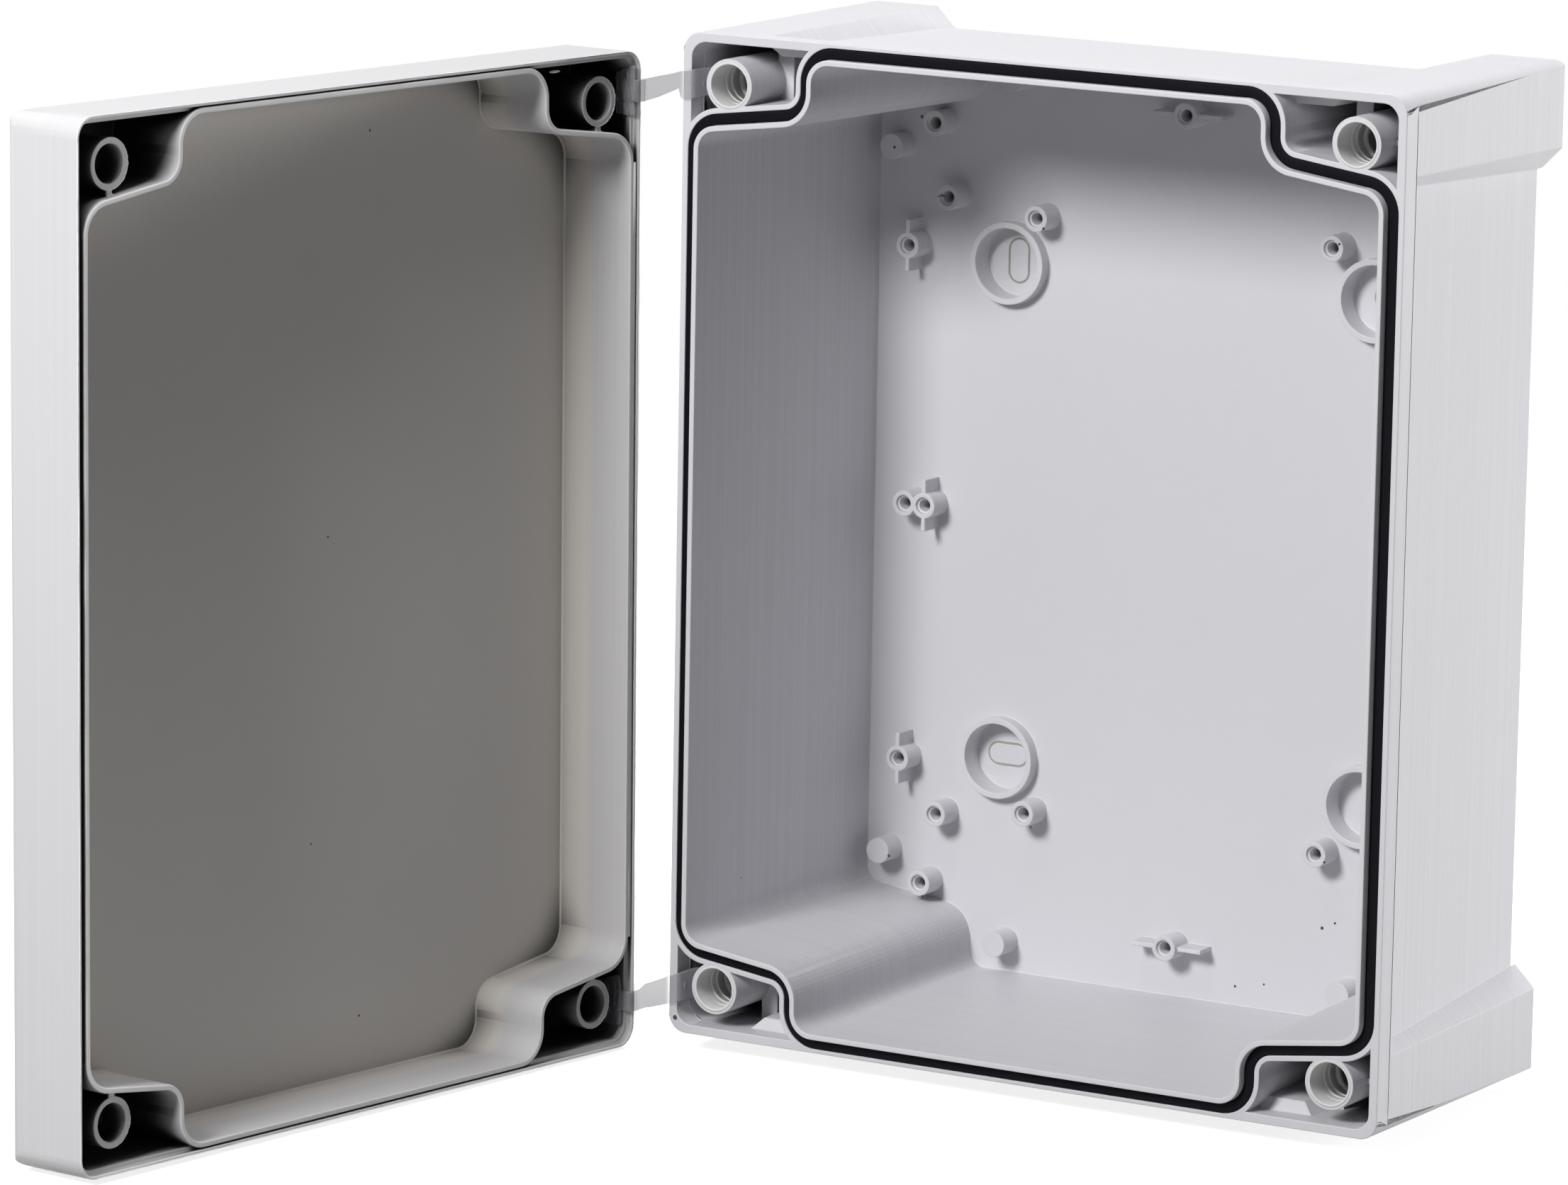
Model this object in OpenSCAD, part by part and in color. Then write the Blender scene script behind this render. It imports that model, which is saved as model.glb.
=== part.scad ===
// Wall box moulded in plastic: an open tray and a lid that share one S-shaped sealed rim with a
// pocket for a cover screw in each corner. The lid hangs open on two soft straps.
// Row frame: x to the right, y into the wall, z up. The origin is the middle of the plane that
// the four feet press on the wall. Millimetres.

/* [Outside] */
// Width of the rim
box_w = 190; // [180:1:200]
// Height of the rim
box_h = 240; // [225:1:255]
// Depth of the tray from its front rim to the back of its feet
base_depth = 82.4; // [70:0.2:100]
// Depth of the lid
lid_depth = 22.4; // [19:0.2:28]
// How much lower the lid is moulded than the tray
lid_short = 1; // [0:0.1:1.6]
// Outer corner radius of both rims
corner_r = 5; // [4:0.1:6]
// Radius along the outer front edges of the lid
lid_edge_r = 3.5; // [2:0.1:4.5]

/* [Tray walls] */
// Depth of the full-width band behind the rim
band = 5.5; // [4.6:0.1:8]
// How far the walls step in behind the band
recess = 2.7; // [1.6:0.1:2.8]
// Depth of the ramp between the band and the wall
ramp = 1.8; // [1:0.1:4]
// How far the side walls lean in by the back
side_draft = 4; // [2:0.1:4.4]
// How far the top and bottom walls lean in by the back
end_draft = 2; // [1:0.1:2.6]
// Wall thickness round the corner pockets and the floor
wall = 2.2; // [1.8:0.1:2.4]
// How far the cavity's side walls lean in by the floor
cavity_draft = 3; // [2:0.1:3.4]
// How far the cavity's end walls lean in by the floor
cavity_end_draft = 1.6; // [0.8:0.1:2]

/* [Seal] */
// Wall outside the seal groove
groove_wall = 1.5; // [1.3:0.05:1.8]
// How much further out the seal line lies at the top and bottom
groove_shift = 0.5; // [0:0.1:0.6]
// Width of the seal groove
groove_w = 2.7; // [2.4:0.05:3]
// Depth of the seal groove
groove_depth = 4; // [3:0.1:4.4]
// Thickness of the inner lip of the groove
lip_t = 1.3; // [1.1:0.05:1.5]
// How far the inner lip stands in front of the rim
lip_proud = 2; // [1:0.1:3]
// Thickness of the outer groove wall where it runs round a pocket
pocket_wall = 1.3; // [1.1:0.05:1.5]
// Play of the seal in its groove on each side
seal_play = 0.05; // [0.02:0.01:0.1]
// Height of the narrower crown of the seal
seal_crown = 0.7; // [0.4:0.1:1]

/* [Corner pockets] */
// Distance from the side to the straight end of a pocket
pocket_w = 31.9; // [30:0.1:34]
// Height of a pocket at the side
pocket_h = 19.8; // [19:0.1:21]
// Slope of the pocket's long wall
pocket_slope = 7.5; // [6:0.1:9]
// Radius of the two outward bends of the seal line
bend_out = 8.5; // [8:0.1:9]
// Radius of the inward bend of the seal line
bend_in = 4.5; // [3.5:0.1:6]
// Thickness of the floor at the back of a pocket
pocket_floor = 3; // [2.6:0.1:6]
// Depth at which the cross web beside a screw tube starts
web_front = 15.5; // [10:0.1:40]
// Thickness of the cross web
web_t = 4.4; // [4.2:0.1:5]
// How far the cross web stands clear of the tube's side
web_clear = 2.1; // [1.5:0.1:2.4]

/* [Cover screws] */
// Distance of a cover screw from the side of the rim
screw_side = 12.5; // [12:0.1:13]
// Distance of a cover screw from the end of the rim
screw_end = 11.9; // [11.5:0.1:12.4]
// Outer diameter of the tube in the tray
boss_d = 12.5; // [12:0.1:12.9]
// Bore of the tube in the tray
boss_bore = 10.5; // [9.6:0.1:10.6]
// Outer diameter of the tube in the lid
tube_d = 11.9; // [11.4:0.1:12.6]
// Bore of the tube in the lid
tube_bore = 8.9; // [8:0.1:9.3]
// How far the lid tube ends short of the lid's rim
tube_short = 2.2; // [1.5:0.1:5]
// Diameter of the screw's head
head_d = 11; // [10:0.1:11.4]
// Height of the screw's head
head_h = 2.4; // [1.6:0.1:3]
// Gap round the screw's head
head_gap = 0.25; // [0.15:0.05:0.4]
// Play of the screw in the lid tube, on the radius
screw_play = 0.07; // [0.03:0.01:0.1]
// Length of the screw's shank below its head
shank_l = 11; // [9:0.1:13]
// Width of the slot in the screw's head
driver_w = 1.6; // [1:0.1:2]

/* [Wall fixing] */
// Hole for the wall screw at the bottom of each tray tube
fix_d = 5; // [4:0.1:6]
// Length of a foot along the top and bottom walls
foot_w = 20.7; // [19:0.1:22]
// Length of a foot along the side walls
foot_h = 18.8; // [18.4:0.1:20]
// Corner radius of a foot
foot_r = 4.5; // [4:0.1:4.8]
// How far the feet stand behind the floor
foot_proud = 2.4; // [1.6:0.1:3.2]
// How far the feet lean in at the sides by the back
foot_draft = 1.6; // [1:0.1:1.8]

/* [Floor features] */
// Height of the small posts on the floor
post_h = 6.6; // [4:0.1:9]
// Diameter of the small posts
post_d = 6.3; // [5.6:0.1:6.6]
// Pilot hole in a post
post_hole = 2.9; // [2:0.1:3.4]
// Entry of the pilot hole
post_entry = 4; // [3.6:0.1:4.6]
// Depth of the pilot hole's entry
entry_depth = 0.8; // [0.4:0.1:2]
// Thickness of the ribs beside the posts
rib_t = 1.1; // [0.8:0.1:1.6]
// Outer diameter of the round cups
cup_d = 20; // [19:0.1:21]
// Inner diameter of the round cups
cup_bore = 17; // [16:0.1:17.4]
// Height of a cup's rim over the floor
cup_h = 3.2; // [2:0.1:5]
// Thickness of the cup's bottom
cup_t = 1.2; // [0.9:0.1:1.5]
// How far the cup's bottom stays in front of the wall
cup_clear = 0.2; // [0.1:0.1:0.6]
// Width of the slot marked in a cup
mark_w = 5.8; // [4:0.1:7]
// Straight length of the slot marked in a cup
mark_l = 5.3; // [3:0.1:7]
// Width of the marking groove
mark_line = 0.4; // [0.3:0.05:0.8]
// Depth of the marking groove
mark_depth = 0.4; // [0.2:0.05:0.6]

/* [Straps] */
// Thickness of the straps
strap_t = 0.8; // [0.6:0.05:1]
// Width of a strap at the lid
strap_w_lid = 5.3; // [4.5:0.1:6]
// Width of a strap at the tray
strap_w_base = 7; // [6:0.1:7.6]

/* [Open lid] */
// How far the lid has swung from closed
open_angle = 98.3; // [90:0.1:100]
// Distance of the lid's turning axis outside the tray's side
pivot_out = 5.3; // [5:0.1:6]
// Distance of the turning axis behind the rim plane
pivot_back = 4.5; // [4:0.1:5]
// How far the open lid hangs down on its straps
sag = 4.85; // [3:0.05:5]
// Sideways lean of the turning axis
lean_x = -0.0037; // [-0.01:0.0001:0]
// Depthwise lean of the turning axis
lean_y = 0.0077; // [0:0.0001:0.01]
// Gap between the two rims when the lid is closed
seam = 0.3; // [0.2:0.05:0.5]

/* [Lid walls] */
// Thickness of the lid's front panel
panel = 2; // [1.6:0.1:2.6]
// Thickness of the lid's outer skin beside the tongue
skin = 0.8; // [0.6:0.05:1]
// How far the tongue stands inside the outer edge of the seal groove
tongue_in = 0.6; // [0.1:0.1:0.9]
// Thickness of the tongue that presses on the seal
tongue_t = 1.4; // [1:0.1:1.6]
// Depth of the slot between the skin and the tongue
slot_depth = 1.5; // [0.8:0.1:2.5]
// Thickness of the lid's outer wall round its pockets
lid_wall = 1.8; // [1.5:0.1:2]

/* [Hidden] */
$fn = 64;
eps = 0.01;
crossing = 0.004;
arc_steps = 12;
kite_tip = 0.2;
far = 400;
half_w = box_w / 2;
half_h = box_h / 2;
screw_x = half_w - screw_side;
screw_z = half_h - screw_end;
lid_half_h = (box_h - lid_short) / 2;
rim_y = -base_depth;
floor_back = base_depth - foot_proud;
floor_front = floor_back - wall;
pocket_end = base_depth - pocket_floor;
swing_axis = [lean_x, lean_y, 1];
pivot = [-half_w - pivot_out, rim_y + pivot_back, 0];
shank_r = tube_bore / 2 - screw_play;
SIDES = [-1, 1];

// Corner points of the seal groove's outer edge, anticlockwise from the right side, before rounding.
seal_w = half_w - groove_wall;
seal_h = half_h - groove_wall + groove_shift;
notch_x = half_w - pocket_w;
notch_z = half_h - pocket_h;
rise = tan(pocket_slope) * (seal_w - notch_x);
QUARTER = [[seal_w, notch_z], [notch_x, notch_z + rise], [notch_x, seal_h]];
QUARTER_R = [bend_out, -bend_in, bend_out];
function flipped(list) = [for (i = [len(list) - 1 : -1 : 0]) list[i]];
function scaled(list, fx, fz) = [for (p = list) [p[0] * fx, p[1] * fz]];
SEAL = concat(QUARTER, scaled(flipped(QUARTER), -1, 1), scaled(QUARTER, -1, -1),
              scaled(flipped(QUARTER), 1, -1));
SEAL_R = concat(QUARTER_R, QUARTER_R, QUARTER_R, QUARTER_R);

// Unit vector from a to b.
function toward(a, b) = (b - a) / norm(b - a);
// Inward normal of an edge that runs anticlockwise round the outline.
function inward(a, b) = let (u = toward(a, b)) [-u[1], u[0]];
function before(list, i) = list[(i + len(list) - 1) % len(list)];
function after(list, i) = list[(i + 1) % len(list)];
// The outline moved inward by d: each corner slides along the bisector of its two edges.
function inset(list, d) = [for (i = [0 : len(list) - 1])
    let (n1 = inward(before(list, i), list[i]), n2 = inward(list[i], after(list, i)))
    list[i] + (n1 + n2) * d / (1 + n1 * n2)];
// Radii of the inset outline: outward bends tighten and inward bends, stored negative, widen.
function inset_r(radii, d) = [for (r = radii) r - d];
// Half of the angle between the two edges that meet at corner i.
function half_angle(list, i) =
    acos(toward(list[i], before(list, i)) * toward(list[i], after(list, i))) / 2;

function arc_centre(list, i, r) =
    let (a = toward(list[i], before(list, i)), b = toward(list[i], after(list, i)))
    list[i] + toward([0, 0], a + b) * r / sin(half_angle(list, i));

// A corner's kite: its two tangent points, the arc's centre, and a tip a little past the corner.
module kite(list, i, r) {
    corner = list[i];
    reach = r / tan(half_angle(list, i));
    centre = arc_centre(list, i, r);
    polygon([corner + (corner - centre) * kite_tip, corner + toward(corner, before(list, i)) * reach,
             centre, corner + toward(corner, after(list, i)) * reach]);
}

// A polygon whose corners are true arcs; a negative radius marks an inward corner. The arcs pass the
// straight edges by a hair, so that they cross instead of just touching.
module rounded(list, radii) {
    difference() {
        union() {
            polygon(list);
            for (i = [0 : len(list) - 1]) if (radii[i] < 0) kite(list, i, -radii[i]);
        }
        for (i = [0 : len(list) - 1]) if (radii[i] > 0) kite(list, i, radii[i]);
        for (i = [0 : len(list) - 1]) if (radii[i] < 0)
            translate(arc_centre(list, i, -radii[i])) circle(crossing - radii[i]);
    }
    for (i = [0 : len(list) - 1]) if (radii[i] > 0)
        translate(arc_centre(list, i, radii[i])) circle(radii[i] + crossing);
}

// The area inside the seal line, moved inward by d.
module seal_area(d) {
    rounded(inset(SEAL, d), inset_r(SEAL_R, d));
}

// A rectangle about the middle with round corners.
module plate(w, h, r) {
    rounded([[w, -h], [w, h], [-w, h], [-w, -h]], [r, r, r, r]);
}

// An x-z drawing carried along y, from a to b behind the tray's rim plane.
module behind_rim(a, b) {
    translate([0, rim_y + b, 0]) rotate([90, 0, 0]) linear_extrude(b - a) children();
}

// The same for one quarter of the box, repeated to all four corners.
module corners() {
    for (sx = SIDES, sz = SIDES) mirror([sx < 0 ? 1 : 0, 0, 0]) mirror([0, 0, sz < 0 ? 1 : 0]) children();
}

// One foot seen from the back: a corner block with a slanted end toward each wall.
module foot_outline(t) {
    ox = half_w - t;
    oz = half_h - t;
    x0 = half_w - foot_w + t / 2;
    z0 = half_h - foot_h + t / 2;
    cut = recess + side_draft;
    polygon([[x0 - cut, oz - cut], [x0, oz], [ox - foot_r, oz], [ox, oz - foot_r], [ox, z0],
             [ox - cut, z0 - cut]]);
    translate([ox - foot_r, oz - foot_r]) circle(foot_r);
}

// The tray's outside moved inward by t: drafted walls behind a full-width band, and four feet.
module outer_form(t) {
    back = floor_back - t;
    side = half_w - t;
    end = half_h - t;
    intersection() {
        translate([0, 0, -far / 2]) linear_extrude(far) drafted_profile(side, side_draft, back);
        rotate([0, -90, 0]) translate([0, 0, -far / 2]) linear_extrude(far)
            drafted_profile(end, end_draft, back);
        behind_rim(-t, base_depth) plate(side, end, corner_r - t / 2);
    }
    intersection() {
        corners() behind_rim(0, base_depth - (t > 0 ? pocket_floor : 0)) foot_outline(t);
        translate([0, 0, -far / 2]) linear_extrude(far)
            polygon([[-side, rim_y - t], [side, rim_y - t],
                     [side - foot_draft, 0], [foot_draft - side, 0]]);
    }
}

// Half sections of the tray's walls: straight over the band, a ramp inward, then the draft.
module drafted_profile(side, draft, back) {
    polygon(concat(section_points(side, draft, back, 1), flipped(section_points(side, draft, back, -1))));
}
function section_points(side, draft, back, s) = [
    [s * side, rim_y - wall], [s * side, rim_y + band], [s * (side - recess), rim_y + band + ramp],
    [s * (side - recess - draft * (back - band) / (floor_back - band)), rim_y + back]];

// Points of a corner's arc in short steps, from one tangent point to the other.
function arc_points(list, i, r) =
    let (c = arc_centre(list, i, abs(r)), reach = abs(r) / tan(half_angle(list, i)),
         a = list[i] + toward(list[i], before(list, i)) * reach - c,
         b = list[i] + toward(list[i], after(list, i)) * reach - c,
         start = atan2(a[1], a[0]),
         step = ((atan2(b[1], b[0]) - start + 540) % 360 - 180) / arc_steps)
    [for (k = [0 : arc_steps]) c + abs(r) * [cos(start + step * k), sin(start + step * k)]];

// The cavity: the seal line moved in past the lip, narrowing toward the floor by the walls' draft.
module cavity() {
    lip_in = groove_w + lip_t;
    inner = inset(SEAL, lip_in);
    radii = inset_r(SEAL_R, lip_in);
    narrow = [1 - cavity_draft / (seal_w - lip_in), 1 - cavity_end_draft / (seal_h - lip_in)];
    translate([0, rim_y - lip_proud, 0]) rotate([-90, 0, 0])
        linear_extrude(floor_front + lip_proud, scale = narrow, slices = 1)
            polygon([for (i = [0 : len(inner) - 1]) each arc_points(inner, i, radii[i])]);
}

// The four corner pockets, between the seal wall and the outside.
module pockets() {
    intersection() {
        behind_rim(-1, pocket_end) difference() {
            square([box_w, box_h], center = true);
            seal_area(-pocket_wall);
        }
        outer_form(wall);
    }
}

// A cylinder along y, from a to b behind the rim plane, at (x, z).
module post(x, z, d, a, b) {
    translate([x, rim_y + b, z]) rotate([90, 0, 0]) cylinder(d = d, h = b - a);
}

// The screw tube of one corner, with its web to the side wall and the web across the pocket beside it.
module corner_tube() {
    post(screw_x, screw_z, boss_d, 0, pocket_end + eps);
    behind_rim(band + ramp, pocket_end + eps)
        translate([screw_x, screw_z - lip_t / 2]) square([half_w - wall - screw_x, lip_t]);
    behind_rim(web_front, pocket_end + eps)
        translate([screw_x - boss_d / 2 - web_clear, notch_z]) square([web_t, half_h - wall / 2 - notch_z]);
}
module corner_bore() {
    post(screw_x, screw_z, boss_bore, -1, pocket_end);
    post(screw_x, screw_z, fix_d, 0, base_depth + 1);
}

// Posts, cups and ribs stand at set distances from the side and the end of the rim.
function from_rim(list) = [for (p = list) [half_w - p[0], half_h - p[1]]];
PEGS = from_rim([[15, 33.4], [48, 14.3]]);
DRILLED = from_rim([[55.2, 47.5], [26.7, 26.8], [30.7, 44.4], [20, 57]]);
CUP = from_rim([[45.5, 59.5]])[0];
MIDDLE_Z = half_h - 19.5;
PAIR_X = [half_w - 20.4, half_w - 25.9];
post_top = floor_front - post_h;
module floor_posts() {
    corners() {
        for (p = PEGS) post(p[0], p[1], post_d, post_top, floor_front + eps);
        for (p = DRILLED) post(p[0], p[1], post_d, post_top, floor_front + eps);
        rib(DRILLED[3], [rib_t, 2 * post_d], post_top);
    }
    for (s = SIDES) {
        post(0, s * MIDDLE_Z, post_d, post_top, floor_front + eps);
        rib([0, s * MIDDLE_Z], [3 * post_d, rib_t], post_top + rib_t);
    }
    for (x = PAIR_X) post(-x, 0, post_d, post_top, floor_front + eps);
    rib([-PAIR_X[1], 0], [rib_t, 2 * post_d], post_top);
}
module rib(at, size, top) {
    behind_rim(top, floor_front + eps) translate(at) square(size, center = true);
}
module pilot(x, z) {
    post(x, z, post_hole, post_top - 1, floor_front);
    post(x, z, post_entry, post_top - 1, post_top + entry_depth);
}
module pilots() {
    corners() for (p = DRILLED) pilot(p[0], p[1]);
    for (s = SIDES) pilot(0, s * MIDDLE_Z);
    for (x = PAIR_X) pilot(-x, 0);
    translate([-DRILLED[2][0] - post_d / 2, rim_y + post_top, DRILLED[2][1]])
        cube([post_d / 2, 2 * rib_t, rib_t / 2]);
}

// Round cups that dip through the floor, each with an outline for a fixing slot in its bottom.
cup_bottom = base_depth - cup_clear - cup_t;
module cup(x, z) {
    post(x, z, cup_d, floor_front - cup_h, base_depth - cup_clear);
}
module cup_hollow(x, z) {
    post(x, z, cup_bore, floor_front - cup_h - 1, cup_bottom);
}
// A shallow groove in a cup's bottom round the place of a fixing slot, or of a hole where the length is 0.
module cup_mark(x, z, length, turn) {
    behind_rim(cup_bottom - eps, cup_bottom + mark_depth) translate([x, z]) rotate(turn) difference() {
        slot_outline(length, mark_w);
        slot_outline(length, mark_w - 2 * mark_line);
    }
}
module slot_outline(length, w) {
    if (length > 0) square([length, w], center = true);
    for (s = SIDES) translate([s * length / 2, 0]) circle(d = w);
}

module base() color([0.82, 0.81, 0.81]) {
    difference() {
        union() {
            difference() {
                union() {
                    outer_form(0);
                    behind_rim(-lip_proud, eps) seal_area(groove_w);
                }
                cavity();
                pockets();
            }
            corners() corner_tube();
            floor_posts();
            for (sx = SIDES, sz = SIDES) cup(sx * CUP[0], sz * CUP[1]);
        }
        behind_rim(-1, groove_depth) difference() {
            seal_area(0);
            seal_area(groove_w);
        }
        corners() corner_bore();
        pilots();
        for (sx = SIDES, sz = SIDES) cup_hollow(sx * CUP[0], sz * CUP[1]);
        cup_mark(-CUP[0], CUP[1], mark_l, 90);
        cup_mark(-CUP[0], -CUP[1], mark_l, 0);
        cup_mark(CUP[0], CUP[1], 0, 0);
    }
}

// The seal: a cord that fills the groove, with a narrower crown.
module gasket() color([0.05, 0.05, 0.06]) {
    behind_rim(seal_crown, groove_depth) difference() {
        seal_area(seal_play);
        seal_area(groove_w - seal_play);
    }
    behind_rim(0, seal_crown + eps) difference() {
        seal_area(seal_play + seal_crown / 2);
        seal_area(groove_w - seal_play - seal_crown / 2);
    }
}

// The lid is drawn closed on the tray, then swung and let down to where it hangs.
module hung() {
    translate(-sag * swing_axis / norm(swing_axis))
        translate(pivot) rotate(a = -open_angle, v = swing_axis) translate(-pivot) children();
}
// An x-z drawing carried along y, from a to b in front of the closed lid's rim plane.
module lid_from_rim(a, b) {
    translate([0, rim_y - seam - a, 0]) rotate([90, 0, 0]) linear_extrude(b - a) children();
}
module lid_outer() {
    r = lid_edge_r;
    front = rim_y - seam - lid_depth;
    back = rim_y - seam;
    intersection() {
        lid_from_rim(0, lid_depth) plate(half_w, lid_half_h, corner_r);
        translate([0, 0, -far / 2]) linear_extrude(far)
            rounded([[half_w, front], [half_w, back], [-half_w, back], [-half_w, front]], [r, 0, 0, r]);
        rotate([0, -90, 0]) translate([0, 0, -far / 2]) linear_extrude(far)
            rounded([[lid_half_h, front], [lid_half_h, back], [-lid_half_h, back], [-lid_half_h, front]],
                    [r, 0, 0, r]);
    }
}
module lid_hollows() {
    deep = lid_depth - panel;
    lid_from_rim(-1, deep) seal_area(tongue_in + tongue_t);
    lid_from_rim(-1, deep) difference() {
        plate(half_w - lid_wall, lid_half_h - lid_wall, corner_r - lid_wall);
        seal_area(tongue_in);
    }
    lid_from_rim(-1, slot_depth) difference() {
        plate(half_w - skin, lid_half_h - skin, corner_r - skin);
        seal_area(tongue_in);
    }
}
collar_d = head_d + 2 * head_gap + 2 * skin;
module lid_tube() {
    at = [screw_x, screw_z];
    lid_from_rim(tube_short, lid_depth - eps) translate(at) circle(d = tube_d);
    lid_from_rim(lid_depth - panel - head_h, lid_depth - eps) translate(at) circle(d = collar_d);
    lid_from_rim(tube_short, lid_depth - eps)
        translate([screw_x - panel / 2, notch_z]) square([panel, screw_z - notch_z]);
}
module lid_bore() {
    at = [screw_x, screw_z];
    lid_from_rim(-1, lid_depth + 1) translate(at) circle(d = tube_bore);
    lid_from_rim(lid_depth - head_h - head_gap, lid_depth + 1) translate(at)
        circle(d = head_d + 2 * head_gap);
}
module lid() color([0.80, 0.79, 0.78]) hung() difference() {
    union() {
        difference() {
            lid_outer();
            lid_hollows();
        }
        intersection() {
            lid_outer();
            corners() lid_tube();
        }
    }
    corners() lid_bore();
}

// A captive cover screw: a slotted head in the lid's front and a shank with two ramped lugs.
module cover_screw(sx, sz) color([0.78, 0.77, 0.77]) hung() {
    translate([sx * screw_x, rim_y - seam - lid_depth, sz * screw_z]) rotate([-90, 0, 0]) difference() {
        union() {
            cylinder(d = head_d, h = head_h);
            cylinder(r = shank_r, h = head_h + shank_l);
        }
        translate([-head_d, -driver_w / 2, -eps]) cube([2 * head_d, driver_w, head_h / 2]);
        translate([0, 0, head_h + shank_l - tube_short]) cross_cut();
    }
}
// The shank's end is cut down to two wings.
module cross_cut() {
    for (s = SIDES) translate([-shank_r, s > 0 ? shank_r / 2 : -1.5 * shank_r, 0])
        cube([2 * shank_r, shank_r, shank_r]);
}

// A point of the hanging lid at height z: s from the hinge edge, n out of the open side.
swing_dir = [cos(open_angle), -sin(open_angle)];
out_dir = [sin(open_angle), cos(open_angle)];
closed_edge = [-half_w, rim_y - seam];
pivot_xy = [pivot[0], pivot[1]];
edge_arm = closed_edge - pivot_xy;
hung_edge = pivot_xy + swing_dir * edge_arm[0] + out_dir * edge_arm[1];
// Sideways shift of the hanging lid for each millimetre up, because its swing axis leans.
lid_lean = [lean_x - lean_x * cos(open_angle) - lean_y * sin(open_angle),
            lean_y + lean_x * sin(open_angle) - lean_y * cos(open_angle)];
function lid_point(s, n, z) = hung_edge + swing_dir * s + out_dir * n + lid_lean * z;

// A ribbon along a list of points, with round joints.
module ribbon(path, t) {
    for (i = [0 : len(path) - 2]) {
        d = path[i + 1] - path[i];
        translate(path[i]) rotate(atan2(d[1], d[0])) translate([0, -t / 2]) square([norm(d), t]);
    }
    for (p = path) translate(p) circle(t / 2 + crossing);
}
plate_s = half_w - screw_x - tube_d / 2;
strap_gap = 0.3;
front_of_rim = rim_y - strap_gap - strap_t / 2;
tab_x = -half_w + wall + strap_gap + strap_t / 2;
strap_off = strap_gap + strap_t / 2;
function strap_path(z) = [
    lid_point(plate_s - strap_off, -tube_short, z), lid_point(lid_wall + strap_off, -tube_short, z),
    lid_point(lid_wall + strap_off, strap_off, z), lid_point(-strap_off, strap_off, z),
    [-half_w - strap_t, front_of_rim], [tab_x, front_of_rim], [tab_x + strap_t / 2, rim_y + band]];
module strap(z) {
    low = z - sag;
    path = strap_path(low);
    x_lid = path[3][0] + strap_t / 2;
    intersection() {
        translate([0, 0, z - far / 4]) linear_extrude(far / 2) ribbon(path, strap_t);
        rotate([90, 0, 0]) translate([0, 0, -far / 2]) linear_extrude(far) polygon([
            [-far, low - strap_w_lid / 2], [x_lid, low - strap_w_lid / 2], [-half_w, z - strap_w_base / 2],
            [0, z - strap_w_base / 2], [0, z + strap_w_base / 2], [-half_w, z + strap_w_base / 2],
            [x_lid, low + strap_w_lid / 2], [-far, low + strap_w_lid / 2]]);
    }
    plate_h = 2 * strap_w_lid;
    translate([0, 0, low - plate_h / 2]) linear_extrude(plate_h) ribbon([path[0], path[1]], strap_t);
}
module strap_top() color([0.93, 0.93, 0.95, 0.6]) strap(screw_z);
module strap_bottom() color([0.93, 0.93, 0.95, 0.6]) strap(-screw_z);

base();
gasket();
lid();
strap_top();
strap_bottom();
cover_screw(-1, 1);  // cover_screw_1
cover_screw(1, 1);  // cover_screw_2
cover_screw(-1, -1);  // cover_screw_3
cover_screw(1, -1);  // cover_screw_4
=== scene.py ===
"""Moulded plastic wall housing: finishes, seal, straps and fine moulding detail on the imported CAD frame."""
import math

import bmesh
import bpy
import numpy as np
from mathutils import Matrix, Vector


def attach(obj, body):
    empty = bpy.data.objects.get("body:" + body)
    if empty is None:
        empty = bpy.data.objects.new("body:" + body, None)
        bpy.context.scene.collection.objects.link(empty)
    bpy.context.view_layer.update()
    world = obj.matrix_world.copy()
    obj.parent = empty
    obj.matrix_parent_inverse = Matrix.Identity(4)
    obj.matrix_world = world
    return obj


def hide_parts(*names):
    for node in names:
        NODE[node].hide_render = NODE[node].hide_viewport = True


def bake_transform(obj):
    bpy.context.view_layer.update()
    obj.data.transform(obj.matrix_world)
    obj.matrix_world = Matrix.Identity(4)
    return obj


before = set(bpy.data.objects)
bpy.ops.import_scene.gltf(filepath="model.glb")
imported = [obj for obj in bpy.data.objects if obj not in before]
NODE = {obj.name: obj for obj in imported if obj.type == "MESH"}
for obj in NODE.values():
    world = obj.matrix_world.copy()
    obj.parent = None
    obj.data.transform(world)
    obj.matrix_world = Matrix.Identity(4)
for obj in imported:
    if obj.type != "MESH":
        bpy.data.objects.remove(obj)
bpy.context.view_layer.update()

bl_info = {
    "name": "Moulded Wall Housing",
    "version": (1, 0, 0),
    "blender": (4, 5, 0),
    "location": "View3D > Sidebar > Housing",
    "description": "Seal, straps, threads, moulding flash and plastic finishes of a wall housing",
    "category": "Add Mesh",
}

MM = 0.001
SIDES = (-1, 1)


# Sizes and finishes

def length(name, description, default):
    return bpy.props.FloatProperty(name=name, description=description, default=default, unit="LENGTH")


def power(name, description, default):
    return bpy.props.FloatProperty(name=name, description=description, default=default, unit="POWER")


def colour(name, description, default):
    return bpy.props.FloatVectorProperty(name=name, description=description, default=default, subtype="COLOR",
                                         size=3)


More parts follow.
